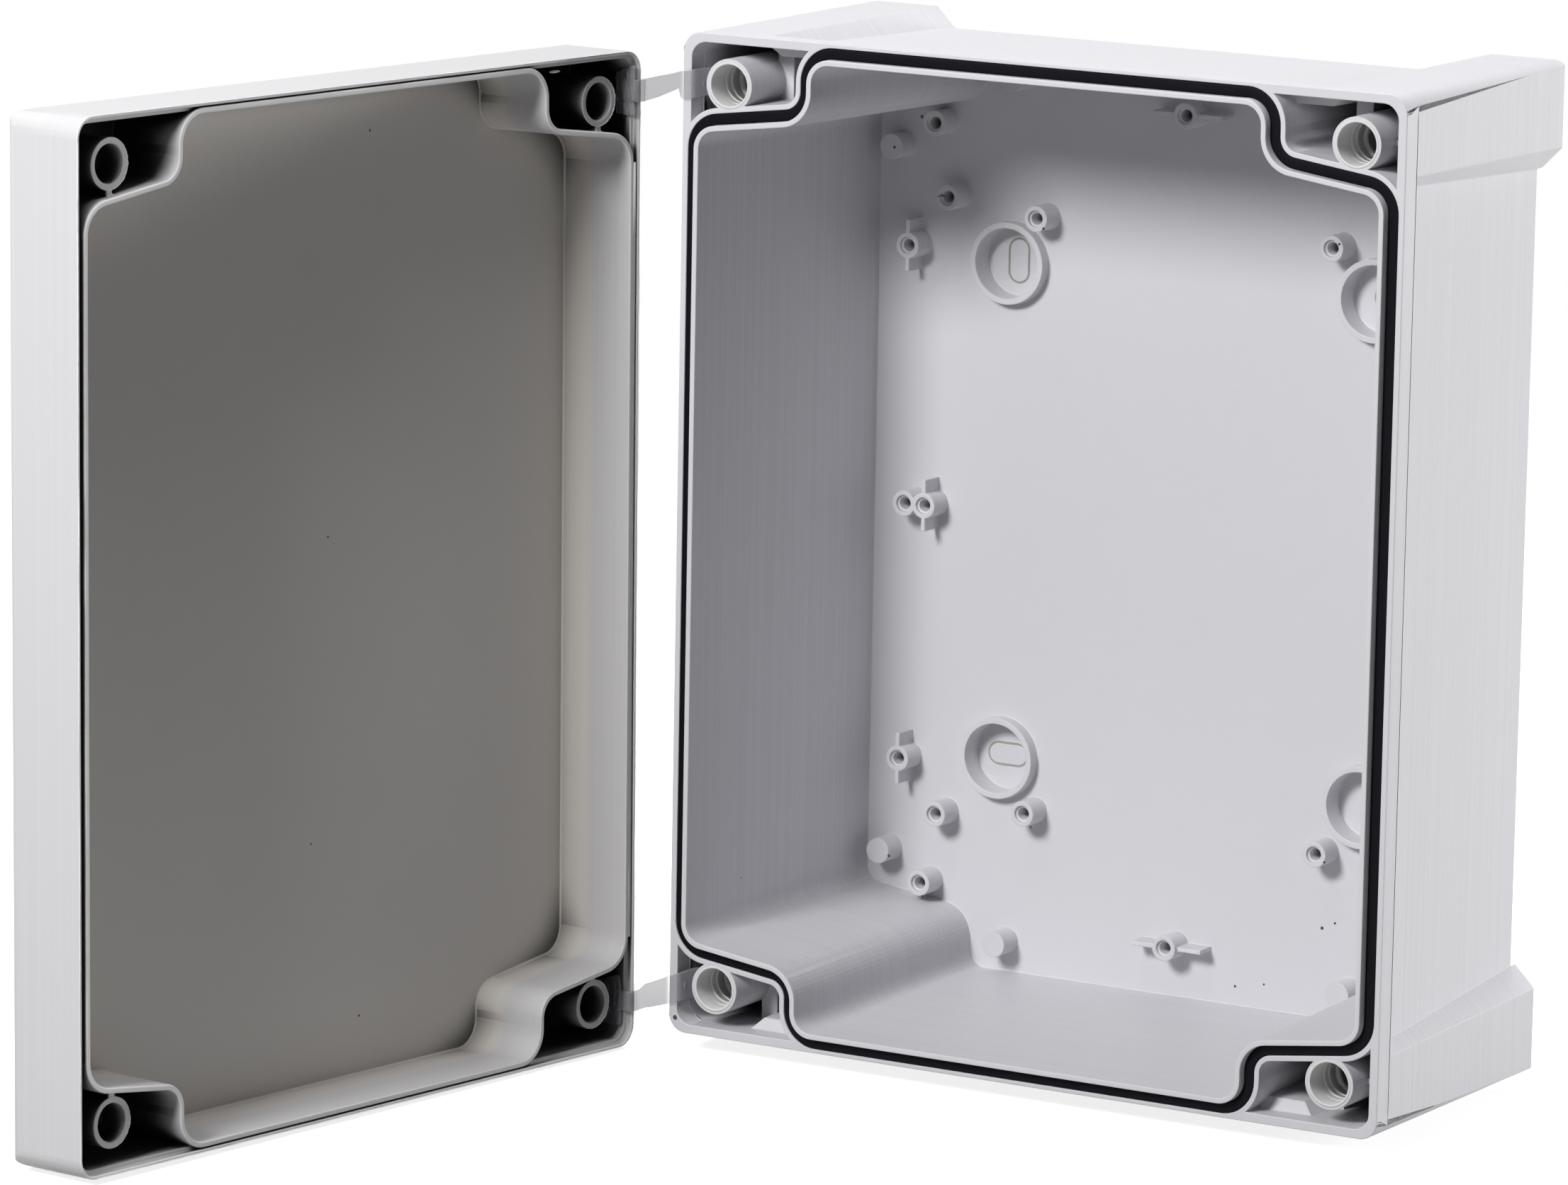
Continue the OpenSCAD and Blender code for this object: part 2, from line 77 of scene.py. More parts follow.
class HousingSizes(bpy.types.PropertyGroup):
    """The housing's sizes as its solids have them, with its soft edges and its straps' thickness."""
    half_width: length("Half width", "Middle to the outer side of the rim", 0.095)
    half_height: length("Half height", "Middle to the top of the rim", 0.12)
    rim_depth: length("Rim", "Place of the tray's rim plane in front of the wall", -0.0824)
    seam: length("Seam", "Gap between the rims of the closed box", 0.0003)
    screw_x: length("Screw across", "Middle to a screw tube, sideways", 0.0825)
    screw_z: length("Screw up", "Middle to a screw tube, upward", 0.1081)
    lid_tube: length("Lid tube", "Outer radius of a screw tube of the lid", 0.00595)
    tube_short: length("Lid tube set back", "Lid rim to the end of a lid tube", 0.0022)
    panel_depth: length("Lid panel", "Lid rim to the inner face of its panel", 0.0204)
    floor_front: length("Floor front", "Place of the tray's floor in front of the wall", -0.0046)
    post_front: length("Post tops", "Place of the post tops in front of the wall", -0.0112)
    edge_round: length("Edge rounding", "Width of the soft edge that the mould leaves", 0.00022)
    rim_round: length("Lid rounding", "Width of the lid's soft edges, at most half its rim", 0.00038)
    strap_thick: length("Strap thickness", "Thickness of the soft straps", 0.0008)


class HousingFinish(bpy.types.PropertyGroup):
    """Colours and gloss of the plastics."""
    tray: colour("Tray", "Colour of the tray's plastic", (0.618, 0.613, 0.642))
    lid: colour("Lid", "Colour of the lid's plastic", (0.560, 0.552, 0.565))
    # Painted warm shade: this warmer tone between the lid's walls stands for the warm shade there.
    lid_inside_painted_warm_shade: colour("Lid inside", "Colour of the lid's plastic between its walls", (0.640, 0.614, 0.574))
    # Painted light: this paler tone along the lid's rim stands for the light that the rim catches.
    lid_rim_painted_light: colour("Lid rim", "Colour along the lid's rim, paler than the rest", (0.88, 0.87, 0.87))
    screw: colour("Screws", "Colour of the cover screws", (0.58, 0.57, 0.56))
    seal: colour("Seal", "Colour of the rubber seal", (0.005, 0.0042, 0.0065))
    seal_dust: colour("Seal dust", "Colour of the pale dust on the seal", (0.30, 0.29, 0.28))
    # Painted shade: this dark colour of the lines in the cups stands for the shade in their grooves.
    groove_painted_shade: colour("Stain", "Colour of the stained lines in the cups", (0.34, 0.31, 0.27))
    strap: colour("Strap", "Colour of the cloudy strap plastic", (0.33, 0.32, 0.345))
    speck: colour("Specks", "Colour of the dark specks", (0.05, 0.042, 0.034))
    satin: bpy.props.FloatProperty(
        name="Satin", description="Roughness of the moulded plastic", default=0.42, min=0.0, max=1.0,
        subtype="FACTOR")


class HousingStage(bpy.types.PropertyGroup):
    """Lamps, floor and camera."""
    key: power("Key lamp", "Power of the round lamp in front", 17.3)
    high: power("High lamp", "Power of the small lamp high in front", 1.8)
    side: power("Side lamp", "Power of the low lamp at the right rear", 19.5)
    top: power("Top lamp", "Power of the overhead lamp", 12.5)
    lamp_distance: length("Lamp distance", "Distance of the lamps from the middle", 1.4)
    floor_drop: length("Floor", "Height of the floor below the middle", -0.1252)


def sizes():
    return bpy.context.scene.housing_sizes


def finish():
    return bpy.context.scene.housing_finish


# Placing

# The lid's hinge, how far the lid is open in the photograph and how much lower it hangs there.
SWING_AXIS = np.array([-0.0037, 0.0077, 1.0])
SWING_AXIS = SWING_AXIS / np.linalg.norm(SWING_AXIS)
PIVOT = np.array([-0.1003, -0.0779, 0.0])
OPEN_ANGLE = math.radians(98.3)
SAG = 0.00485


def hung(points):
    """Points of the closed lid where they are on the open lid: turned about the swing axis, then let down."""
    turn = np.array(Matrix.Rotation(-OPEN_ANGLE, 3, Vector(SWING_AXIS)))
    return (np.asarray(points) - PIVOT) @ turn.T + PIVOT - SAG * SWING_AXIS


def closed_lid(x, z, out):
    """Points of the closed lid from x, z and the distance in front of its rim plane."""
    s = sizes()
    x, z, out = np.broadcast_arrays(x, z, out)
    return np.stack([x, s.rim_depth - s.seam - out, z], axis=-1)


def piece(name, points, faces, body=None, slot=None, smooth=True):
    """A mesh piece from an array of points and an array of faces, riding on a body. The slot argument is not
    used.

    Points that fall together, as at the poles of an ellipsoid, become one, and all faces look outward.
    """
    mesh = bpy.data.meshes.new(name)
    mesh.from_pydata(np.asarray(points).reshape(-1, 3).tolist(), [], [list(f) for f in faces])
    work = bmesh.new()
    work.from_mesh(mesh)
    bmesh.ops.remove_doubles(work, verts=work.verts, dist=1e-7)
    bmesh.ops.recalc_face_normals(work, faces=work.faces)
    work.to_mesh(mesh)
    work.free()
    mesh.validate()
    mesh.update()
    mesh.polygons.foreach_set("use_smooth", np.full(len(mesh.polygons), smooth))
    obj = bpy.data.objects.new(name, mesh)
    bpy.context.scene.collection.objects.link(obj)
    if body:
        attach(obj, body)
    return obj


def grid_faces(rows, columns, closed_rows=False, closed_columns=False):
    """Quads of a grid of points numbered row by row; a closed direction joins its last line to its first."""
    n = np.arange(rows * columns).reshape(rows, columns)
    if closed_rows:
        n = np.vstack([n, n[:1]])
    if closed_columns:
        n = np.hstack([n, n[:, :1]])
    quads = np.stack([n[:-1, :-1], n[1:, :-1], n[1:, 1:], n[:-1, 1:]], axis=-1)
    return quads.reshape(-1, 4)


def wave_noise(t, seed, waves, base):
    """A smooth seeded wander of t, mostly within 1 of zero: sines of growing frequency and random phase."""
    rng = np.random.default_rng(seed)
    k = base * (1 + np.arange(waves) + rng.random(waves))
    phase = rng.random(waves) * 2 * math.pi
    return np.sin(np.multiply.outer(t, k) + phase).sum(axis=-1) / math.sqrt(waves * 2)


def unit(v):
    return v / np.linalg.norm(v, axis=-1, keepdims=True)


def lid_wall_point(s, z, n):
    """Points of the open lid: s in from the hinge edge, z up from its middle, n out of its open side."""
    return hung(closed_lid(s - sizes().half_width, z, -np.asarray(n)))


def smooth_path(points, count, soft):
    """A path through the points, resampled evenly; a running mean of length soft rounds its corners."""
    points = np.asarray(points, float)
    along = np.concatenate([[0], np.cumsum(np.linalg.norm(np.diff(points[:, :2], axis=0), axis=1))])
    fine = np.linspace(0, along[-1], 40 * count)
    dense = np.stack([np.interp(fine, along, column) for column in points.T], axis=-1)
    reach = max(1, int(soft / (fine[1] - fine[0])))
    before, after = 2 * dense[0] - dense[reach:0:-1], 2 * dense[-1] - dense[-2:-reach - 2:-1]
    padded = np.concatenate([before, dense, after])
    sums = np.cumsum(padded, axis=0)
    mean = (sums[2 * reach:] - sums[:-2 * reach]) / (2 * reach)
    pick = np.linspace(0, len(mean) - 1, count).astype(int)
    return mean[pick]


def slab(middle, normal, thickness):
    """A closed thin plate as points and faces: a grid of middle points, half its thickness to each side."""
    rows, columns = middle.shape[:2]
    front = middle + normal * thickness / 2
    back = middle - normal * thickness / 2
    points = np.concatenate([front.reshape(-1, 3), back.reshape(-1, 3)])
    size = rows * columns
    n = np.arange(size).reshape(rows, columns)
    rim = np.concatenate([n[0, :-1], n[:-1, -1], n[-1, :0:-1], n[:0:-1, 0]])
    border = np.stack([rim, rim + size, np.roll(rim, -1) + size, np.roll(rim, -1)], axis=-1)
    faces = np.concatenate([grid_faces(rows, columns), grid_faces(rows, columns)[:, ::-1] + size, border])
    return points, faces


# Lines of latitude and longitude on an ellipsoid.
BALL = (13, 24)


def ellipsoid(middle, radii):
    """A closed ellipsoid as a grid of latitude and longitude, in millimetres, with its faces."""
    lat = np.linspace(-math.pi / 2, math.pi / 2, BALL[0])[:, None]
    lon = np.linspace(0, 2 * math.pi, BALL[1], endpoint=False)
    ball = np.stack([np.cos(lat) * np.cos(lon), np.cos(lat) * np.sin(lon), np.sin(lat) + 0 * lon], axis=-1)
    return (np.array(middle) + ball * np.array(radii)).reshape(-1, 3), grid_faces(*BALL, closed_columns=True)


def joined(parts):
    """Points and faces of several parts as one mesh: each part's faces count on from the points before it."""
    points = [np.asarray(p).reshape(-1, 3) for p, f in parts]
    starts = np.cumsum([0] + [len(p) for p in points[:-1]])
    return np.concatenate(points), np.concatenate([f + start for (p, f), start in zip(parts, starts)])


# Corners (x, z) of the seal's line in the upper right quarter, and the radii of its bends. The middle one
# turns the other way, which its minus says.
LINE_CORNERS = np.array([[93.5, 100.2], [63.1, 104.2022], [63.1, 119.0]]) * MM
LINE_RADII = np.array([8.5, -4.5, 8.5]) * MM


def seal_line(inset, arc_steps):
    """The closed S-shaped line of the seal, moved inward, as x-z points with their outward normals.

    Each corner point slides along the bisector of its two edges by the inset; its arc then runs between
    the two tangent points round a centre on the same bisector, at equal steps of angle.
    """
    flip = np.array([-1.0, 1.0])
    right_top = LINE_CORNERS
    left_top = LINE_CORNERS[::-1] * flip
    corners = np.concatenate([right_top, left_top, -right_top, -left_top])
    radii = np.tile(LINE_RADII, 4)
    back = unit(np.roll(corners, 1, axis=0) - corners)
    ahead = unit(np.roll(corners, -1, axis=0) - corners)
    normal_in = np.stack([back[:, 1], -back[:, 0]], axis=-1)
    normal_out = np.stack([-ahead[:, 1], ahead[:, 0]], axis=-1)
    dot = (normal_in * normal_out).sum(axis=1, keepdims=True)
    corners = corners + (normal_in + normal_out) * inset / (1 + dot)
    radii = np.abs(radii - inset)
    half = np.arccos(np.clip((back * ahead).sum(axis=1), -1, 1)) / 2
    centre = corners + unit(back + ahead) * (radii / np.sin(half))[:, None]
    start = corners + back * (radii / np.tan(half))[:, None] - centre
    end = corners + ahead * (radii / np.tan(half))[:, None] - centre
    a0 = np.arctan2(start[:, 1], start[:, 0])
    sweep = (np.arctan2(end[:, 1], end[:, 0]) - a0 + math.pi) % (2 * math.pi) - math.pi
    angle = a0[:, None] + sweep[:, None] * np.linspace(0, 1, arc_steps)
    ray = np.stack([np.cos(angle), np.sin(angle)], axis=-1)
    line = (centre[:, None, :] + ray * radii[:, None, None]).reshape(-1, 2)
    outward = (ray * np.sign(sweep)[:, None, None]).reshape(-1, 2)
    return line, outward


# Shader helpers

def add_node(tree, kind, at=(0, 0), feeds=(), **values):
    """A shader node of the tree, with its properties and sockets set from keyword values.

    feeds holds a socket to link or a value to set for its inputs, in order or by name in a dictionary.
    """
    node = tree.nodes.new("ShaderNode" + kind)
    node.location = at
    for key, value in values.items():
        if hasattr(node, key):
            setattr(node, key, value)
        else:
            node.inputs[key.replace("_", " ")].default_value = value
    connect(tree, node, feeds)
    return node


def connect(tree, node, feeds):
    """Links the node's inputs to sockets, or sets them to values, in order or by name."""
    for key, feed in feeds.items() if isinstance(feeds, dict) else enumerate(feeds):
        if isinstance(feed, bpy.types.NodeSocket):
            tree.links.new(feed, node.inputs[key])
        else:
            node.inputs[key].default_value = feed


def result(tree, at, operation, *feeds, kind="Math", **values):
    """What a math node makes of the given sockets and numbers."""
    return add_node(tree, kind, at, feeds, operation=operation, **values).outputs[0]


def mixed(tree, at, share, first, second):
    """A colour between two colours, each a socket or a value."""
    return add_node(tree, "Mix", at, {0: share, 6: first, 7: second}, data_type="RGBA").outputs[2]


def new_group(name, inputs, outputs):
    """A shader node group with the sockets of its inputs by name and its output node; an input is
    (kind, name, default)."""
    tree = bpy.data.node_groups.new(name, "ShaderNodeTree")
    for kind, label, default in inputs:
        socket = tree.interface.new_socket(label, in_out="INPUT", socket_type="NodeSocket" + kind)
        if default is not None:
            socket.default_value = default
    for kind, label in outputs:
        tree.interface.new_socket(label, in_out="OUTPUT", socket_type="NodeSocket" + kind)
    source = tree.nodes.new("NodeGroupInput")
    source.location = (-1200, 0)
    target = tree.nodes.new("NodeGroupOutput")
    target.location = (900, 0)
    return tree, source.outputs, target


def moulded_skin_group():
    """Colour drift, draw lines and fine grain of an injection moulded surface.

    Cloud is low noise over centimetres, lines are noise squeezed along the draw direction so that they
    run round the walls at a constant depth, and grain is noise of about half a millimetre.
    """
    tree, source, target = new_group(
        "Moulded Skin",
        [("Vector", "Vector", None), ("Color", "Tone", (0.65, 0.65, 0.65, 1)), ("Float", "Cloud", 0.04),
         ("Float", "Lines", 0.05), ("Float", "Grain", 1.0), ("Float", "Satin", 0.42)],
        [("Color", "Color"), ("Float", "Roughness"), ("Float", "Height")])

    def noise(scale, y, detail, roughness):
        """Noise over the group's vector, stretched by a fixed scale."""
        stretched = add_node(tree, "Mapping", (-980, y), {"Vector": source["Vector"], "Scale": scale})
        return add_node(tree, "TexNoise", (-760, y), {"Vector": stretched.outputs[0]}, Scale=1.0,
                        Detail=detail, Roughness=roughness).outputs[0]

    def centred(pattern, weight, y):
        """The pattern about zero, times one of the group's inputs."""
        less = result(tree, (-540, y), "SUBTRACT", pattern, 0.5)
        return result(tree, (-360, y), "MULTIPLY", less, source[weight])

    cloud = centred(noise((16, 16, 11), 300, 3.0, 0.55), "Cloud", 300)
    lines = centred(noise((5, 1500, 3), 0, 2.0, 0.6), "Lines", 0)
    both = result(tree, (-160, 200), "ADD", cloud, lines)
    lift = result(tree, (20, 200), "ADD", both, 1.0)
    shade = add_node(tree, "VectorMath", (220, 200), {0: source["Tone"], "Scale": lift}, operation="SCALE")
    rough = result(tree, (220, 0), "ADD", source["Satin"], both)
    grain = noise((1900, 1900, 1900), -300, 2.0, 0.5)
    fine = result(tree, (220, -300), "MULTIPLY", grain, source["Grain"])
    height = result(tree, (420, -200), "ADD", fine, lines)
    connect(tree, target, {"Color": shade.outputs[0], "Roughness": rough, "Height": height})
    return tree


def dust_group():
    """Rare specks: each cell of a Voronoi pattern may hold one, chosen by its random colour."""
    tree, source, target = new_group(
        "Dust Specks",
        [("Vector", "Vector", None), ("Color", "Color", (0.65, 0.65, 0.65, 1)),
         ("Color", "Speck Color", (0.05, 0.045, 0.04, 1)), ("Float", "Per Metre", 90.0),
         ("Float", "Share", 0.05), ("Float", "Size", 0.02)],
        [("Color", "Color")])
    cells = add_node(tree, "TexVoronoi", (-760, 0), {
        "Vector": source["Vector"], "Scale": source["Per Metre"]})
    near = result(tree, (-520, 0), "LESS_THAN", cells.outputs["Distance"], source["Size"])
    parts = add_node(tree, "SeparateColor", (-520, -180), [cells.outputs["Color"]])
    chosen = result(tree, (-320, -180), "LESS_THAN", parts.outputs[0], source["Share"])
    mask = result(tree, (-120, 0), "MULTIPLY", near, chosen)
    connect(tree, target, {"Color": mixed(tree, (120, 0), mask, source["Color"], source["Speck Color"])})
    return tree


def crevice_group():
    """Painted shade: darkens a colour where a surface lies deep in a pocket or tube.

    Open is the share of the sky that the point sees nearby. Below Closed At the colour is down to Least of
    itself, above Open At it is whole, with a smooth step between.
    """
    tree, source, target = new_group(
        "Crevice Shade",
        [("Color", "Color", (0.65, 0.65, 0.65, 1)), ("Float", "Open", 1.0), ("Float", "Closed At", 0.04),
         ("Float", "Open At", 0.3), ("Float", "Least", 0.05)],
        [("Color", "Color")])
    share = add_node(tree, "MapRange", (-500, 0),
                     {"Value": source["Open"], "From Min": source["Closed At"], "From Max": source["Open At"],
                      "To Min": source["Least"]}, interpolation_type="SMOOTHSTEP")
    shade = add_node(tree, "VectorMath", (0, 0), {0: source["Color"], "Scale": share.outputs["Result"]},
                     operation="SCALE")
    connect(tree, target, {"Color": shade.outputs[0]})
    return tree


def box_mask_group():
    """1 inside a box and 0 outside, with a smooth step of the width Soft just inside its faces.

    On each axis the depth inside the box is half its size less the distance to its middle; the least of
    the three depths goes through the step.
    """
    tree, source, target = new_group(
        "Box Mask",
        [("Vector", "Vector", None), ("Vector", "Middle", (0, 0, 0)), ("Vector", "Half Size", (1, 1, 1)),
         ("Float", "Soft", 0.001)],
        [("Float", "Mask")])
    offset = result(tree, (-900, 0), "SUBTRACT", source["Vector"], source["Middle"], kind="VectorMath")
    away = result(tree, (-700, 0), "ABSOLUTE", offset, kind="VectorMath")
    depth = result(tree, (-500, 0), "SUBTRACT", source["Half Size"], away, kind="VectorMath")
    parts = add_node(tree, "SeparateXYZ", (-300, 0), [depth]).outputs
    least = result(tree, (-100, 0), "MINIMUM", parts[0], parts[1])
    least = result(tree, (80, 0), "MINIMUM", least, parts[2])
    step = add_node(tree, "MapRange", (260, 0), {"Value": least, "From Max": source["Soft"]},
                    interpolation_type="SMOOTHSTEP")
    connect(tree, target, {"Mask": step.outputs["Result"]})
    return tree


GROUP_MAKERS = {"Moulded Skin": moulded_skin_group, "Dust Specks": dust_group, "Crevice Shade": crevice_group,
                "Box Mask": box_mask_group}


def group_node(tree, name, at, feeds):
    """One of the shared groups in a material, with this material's own sockets and values."""
    node = tree.nodes.new("ShaderNodeGroup")
    node.node_tree = bpy.data.node_groups.get(name) or GROUP_MAKERS[name]()
    node.location = at
    connect(tree, node, feeds)
    return node


def empty_tree(owner):
    """The cleared node tree of a material or a world."""
    owner.use_nodes = True
    owner.node_tree.nodes.clear()
    return owner.node_tree


def skin_material(name, tone, cloud, satin, lines=0.0, grain=1.0, relief=0.02 * MM):
    """A material whose colour, gloss and fine relief come from the skin group at its Object coordinates.

    Returns the material, its tree, its shader and its skin node; relief 0 leaves the surface smooth.
    """
    mat = bpy.data.materials.new(name)
    tree = empty_tree(mat)
    shader = add_node(tree, "BsdfPrincipled", (560, 0))
    add_node(tree, "OutputMaterial", (900, 0), {"Surface": shader.outputs[0]})
    place = add_node(tree, "TexCoord", (-900, 0)).outputs["Object"]
    skin = group_node(tree, "Moulded Skin", (-600, 100), {
        "Vector": place, "Tone": (*tone, 1), "Cloud": cloud, "Lines": lines, "Grain": grain, "Satin": satin})
    connect(tree, shader, {"Base Color": skin.outputs["Color"], "Roughness": skin.outputs["Roughness"]})
    if relief:
        bump = add_node(tree, "Bump", (260, -300), {"Height": skin.outputs["Height"]}, Strength=1.0,
                        Distance=relief)
        connect(tree, shader, {"Normal": bump.outputs[0]})
    return mat, tree, shader, skin


def skin_place(skin):
    """The socket that gives a skin node its coordinates."""
    return skin.inputs["Vector"].links[0].from_socket


def dusty(tree, skin, values):
    """The skin's colour with specks on it."""
    dust = group_node(tree, "Dust Specks", (-300, 200), {
        "Vector": skin_place(skin), "Color": skin.outputs["Color"], **values})
    return dust.outputs["Color"]


def moulded_plastic(name, tone, cloud, grain, lines=0.0, specks=0.0, closed_at=-1.0, open_at=-0.5, least=0.05,
                    alone=True):
    """Satin moulded plastic: the skin group gives colour, gloss and height, the dust group adds specks, and
    the crevice group paints shade into the colour of deep pockets; alone says that only the piece itself
    closes them off."""
    mat, tree, shader, skin = skin_material(name, tone, cloud, finish().satin, lines, grain)
    # Painted shade: the ambient occlusion below darkens the base colour in pockets and tubes.
    opening = add_node(tree, "AmbientOcclusion", (-300, -100), samples=20, Distance=0.02, only_local=alone)
    crevice = group_node(tree, "Crevice Shade", (0, 200), {
        "Color": dusty(tree, skin, {"Share": specks}), "Open": opening.outputs["AO"], "Closed At": closed_at,
        "Open At": open_at, "Least": least})
    connect(tree, shader, {"Base Color": crevice.outputs["Color"], "IOR": 1.49, "Specular IOR Level": 0.25})
    return mat, skin


def paint(obj, mat):
    obj.data.materials.clear()
    obj.data.materials.append(mat)


def soften_edges(obj, width, join_flats=True, segments=2):
    """Welds the loose triangles of a CAD node and rounds its sharp edges, all by modifiers.

    Joining the triangles of each flat face first keeps the rounding clean on the tray's busy floor.
    """
    weld = obj.modifiers.new("Weld", "WELD")
    weld.merge_threshold = 2e-5
    if join_flats:
        flat = obj.modifiers.new("Plain faces", "DECIMATE")
        flat.decimate_type = "DISSOLVE"
        flat.angle_limit = math.radians(0.3)
    bevel = obj.modifiers.new("Soft edges", "BEVEL")
    bevel.width = width
    bevel.segments = segments
    bevel.limit_method = "ANGLE"
    bevel.angle_limit = math.radians(32)
    bevel.use_clamp_overlap = False
    bevel.loop_slide = False
    bevel.mark_sharp = True


# Operators

class HOUSING_OT_tray(bpy.types.Operator):
    """Finish the tray: soft mould edges and pale satin plastic, with painted shade deep in its pockets and
    tubes
    """
    bl_idname = "housing.tray"
    bl_label = "Tray Finish"

    def execute(self, context):
        # Painted shade: the crevice group darkens the tray's colour where its pockets, tubes and grooves lie
        # deep.
        mat, skin = moulded_plastic("tray_plastic", finish().tray, cloud=0.03, lines=0.2, grain=0.6,
                                    specks=0.035, closed_at=0.01, open_at=0.09, least=0.2)
        paint(NODE["base"], mat)
        soften_edges(NODE["base"], sizes().edge_round)
        return {"FINISHED"}


class HOUSING_OT_lid(bpy.types.Operator):
    """Finish the lid: soft mould edges and pale satin plastic, with painted shade deep in its pockets, a
    painted warm shade between its walls and painted light along its rim
    """
    bl_idname = "housing.lid"
    bl_label = "Lid Finish"

    def execute(self, context):
        # Painted shade: the crevice group darkens the lid's colour deep in its corner pockets and tubes.
        mat, skin = moulded_plastic("lid_plastic", finish().lid, cloud=0.04, lines=0.1, grain=0.6,
                                    specks=0.05, closed_at=0.28, open_at=0.6, least=0.03)
        self.painted_shade_and_light(mat.node_tree, skin)
        paint(NODE["lid"], mat)
        soften_edges(NODE["lid"], sizes().rim_round, join_flats=False, segments=3)
        return {"FINISHED"}

    def painted_shade_and_light(self, tree, skin):
        """Painted warm shade on the lid's inside and painted light along its rim: Object coordinates are
        turned back to the closed lid, where box masks pick the space between its walls and the rim plane."""
        s = sizes()
        inside_middle, inside_half, rim_half = 17 * MM, 7 * MM, 0.5 * MM
        place = add_node(tree, "VectorRotate", (-1500, 300), {
            "Vector": skin_place(skin), "Center": Vector(PIVOT - SAG * SWING_AXIS),
            "Axis": Vector(SWING_AXIS), "Angle": OPEN_ANGLE}, rotation_type="AXIS_ANGLE").outputs[0]
        # Painted warm shade: the warmer tone between the lid's walls stands for the warm shade there.
        inside = group_node(tree, "Box Mask", (-1250, 300), {
            "Vector": place, "Middle": (0, s.rim_depth - inside_middle, -SAG),
            "Half Size": (s.half_width, inside_half, s.half_height), "Soft": 4 * MM})
        tone = mixed(tree, (-850, 300), inside.outputs[0], (*finish().lid, 1), (*finish().lid_inside_painted_warm_shade, 1))
        # Painted light: the paler tone along the rim plane stands for the light that the rim catches.
        rim = group_node(tree, "Box Mask", (-1250, 0), {
            "Vector": place, "Middle": (0, s.rim_depth, 0), "Half Size": (1, rim_half, 1), "Soft": 0.05 * MM})
        tone = mixed(tree, (-850, 0), rim.outputs[0], tone, (*finish().lid_rim_painted_light, 1))
        connect(tree, skin, {"Tone": tone, "Vector": place})


class HOUSING_OT_screws(bpy.types.Operator):
    """Finish the four cover screws, with painted shade where they sit deep in the lid's tubes"""
    bl_idname = "housing.screws"
    bl_label = "Cover Screws"

    def execute(self, context):
        # Painted shade: the crevice group darkens the screws' colour where the lid's tubes close round them.
        mat, skin = moulded_plastic("screw_plastic", finish().screw, cloud=0.05, lines=0.04, grain=0.5,
                                    specks=0.02, closed_at=0.28, open_at=0.6, least=0.03, alone=False)
        for i in range(4):
            paint(NODE[f"cover_screw_{i + 1}"], mat)
            soften_edges(NODE[f"cover_screw_{i + 1}"], sizes().edge_round)
        return {"FINISHED"}


class HOUSING_OT_seal(bpy.types.Operator):
    """Make the seal: a round-crowned rubber cord carried round the groove"""
    bl_idname = "housing.seal"
    bl_label = "Seal"

    def execute(self, context):
        s = sizes()
        line, outward = seal_line(inset=1.35 * MM, arc_steps=18)
        # Section: flat sides from the groove's bottom, then a nearly flat crown with rounded shoulders.
        half, depth, crown, sunk, blunt = 1.33 * MM, 3.95 * MM, 0.55 * MM, 0.1 * MM, 0.55
        turn = np.linspace(0, math.pi, 21)
        flat_cos = np.sign(np.cos(turn)) * np.abs(np.cos(turn)) ** blunt
        flat_sin = np.sin(turn) ** blunt
        across = np.concatenate([[half], half * flat_cos, [-half]])
        y = s.rim_depth + sunk + np.concatenate([[depth], crown - crown * flat_sin, [depth]])
        x = line[:, None, 0] + outward[:, None, 0] * across
        z = line[:, None, 1] + outward[:, None, 1] * across
        points = np.stack([x, np.broadcast_to(y, x.shape), z], axis=-1)
        faces = grid_faces(len(line), len(across), closed_rows=True, closed_columns=True)
        seal = piece("seal_cord", points, faces, "tray", "seal_rubber")
        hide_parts("gasket")
        paint(seal, self.rubber())
        return {"FINISHED"}

    def rubber(self):
        """Black rubber with a little pale dust on it."""
        mat, tree, shader, skin = skin_material("seal_rubber", finish().seal, 0.5, 0.6, relief=0.03 * MM)
        dust = dusty(tree, skin, {"Share": 0.06, "Per Metre": 260.0, "Size": 0.04,
                                  "Speck Color": (*finish().seal_dust, 1)})
        connect(tree, shader, {"Base Color": dust, "Specular IOR Level": 0.06})
        return mat


class HOUSING_OT_cup_lines(bpy.types.Operator):
    """Make the dark lines of painted shade in the marking grooves of the round cups in the tray's floor"""
    bl_idname = "housing.cup_lines"
    bl_label = "Cup Lines"

    # Cup centre (x, z), straight length of the marked slot across and up.
    MARKS = ((-49.5, 60.5, 0.0, 5.3), (-49.5, -60.5, 5.3, 0.0), (49.5, 60.5, 0.0, 0.0))

    def execute(self, context):
        angle = np.linspace(0, 2 * math.pi, 80, endpoint=False)[:, None]
        radial, depth = np.array([[2.52, 2.88, 2.88, 2.52], [-1.3, -1.3, -1.05, -1.05]])
        quads = grid_faces(len(angle), len(radial), closed_rows=True, closed_columns=True)
        parts = []
        for x, z, across, up in self.MARKS:
            # A circle whose halves, left and right or lower and upper, stand apart by the straight length.
            dx, dz = np.sign(np.cos(angle)) * across / 2, np.sign(np.sin(angle + 1e-6)) * up / 2
            points = np.stack([x + dx + radial * np.cos(angle), depth + 0 * angle,
                               z + dz + radial * np.sin(angle)], axis=-1)
            parts.append((points * MM, quads))
        # Painted shade: these dark lines stand for the shade in the cups' marking grooves.
        lines = piece("cup_lines", *joined(parts), "tray", smooth=False)
        mat, skin = moulded_plastic("cup_lines", finish().groove_painted_shade, cloud=0.8, grain=0.6)
        paint(lines, mat)
        return {"FINISHED"}


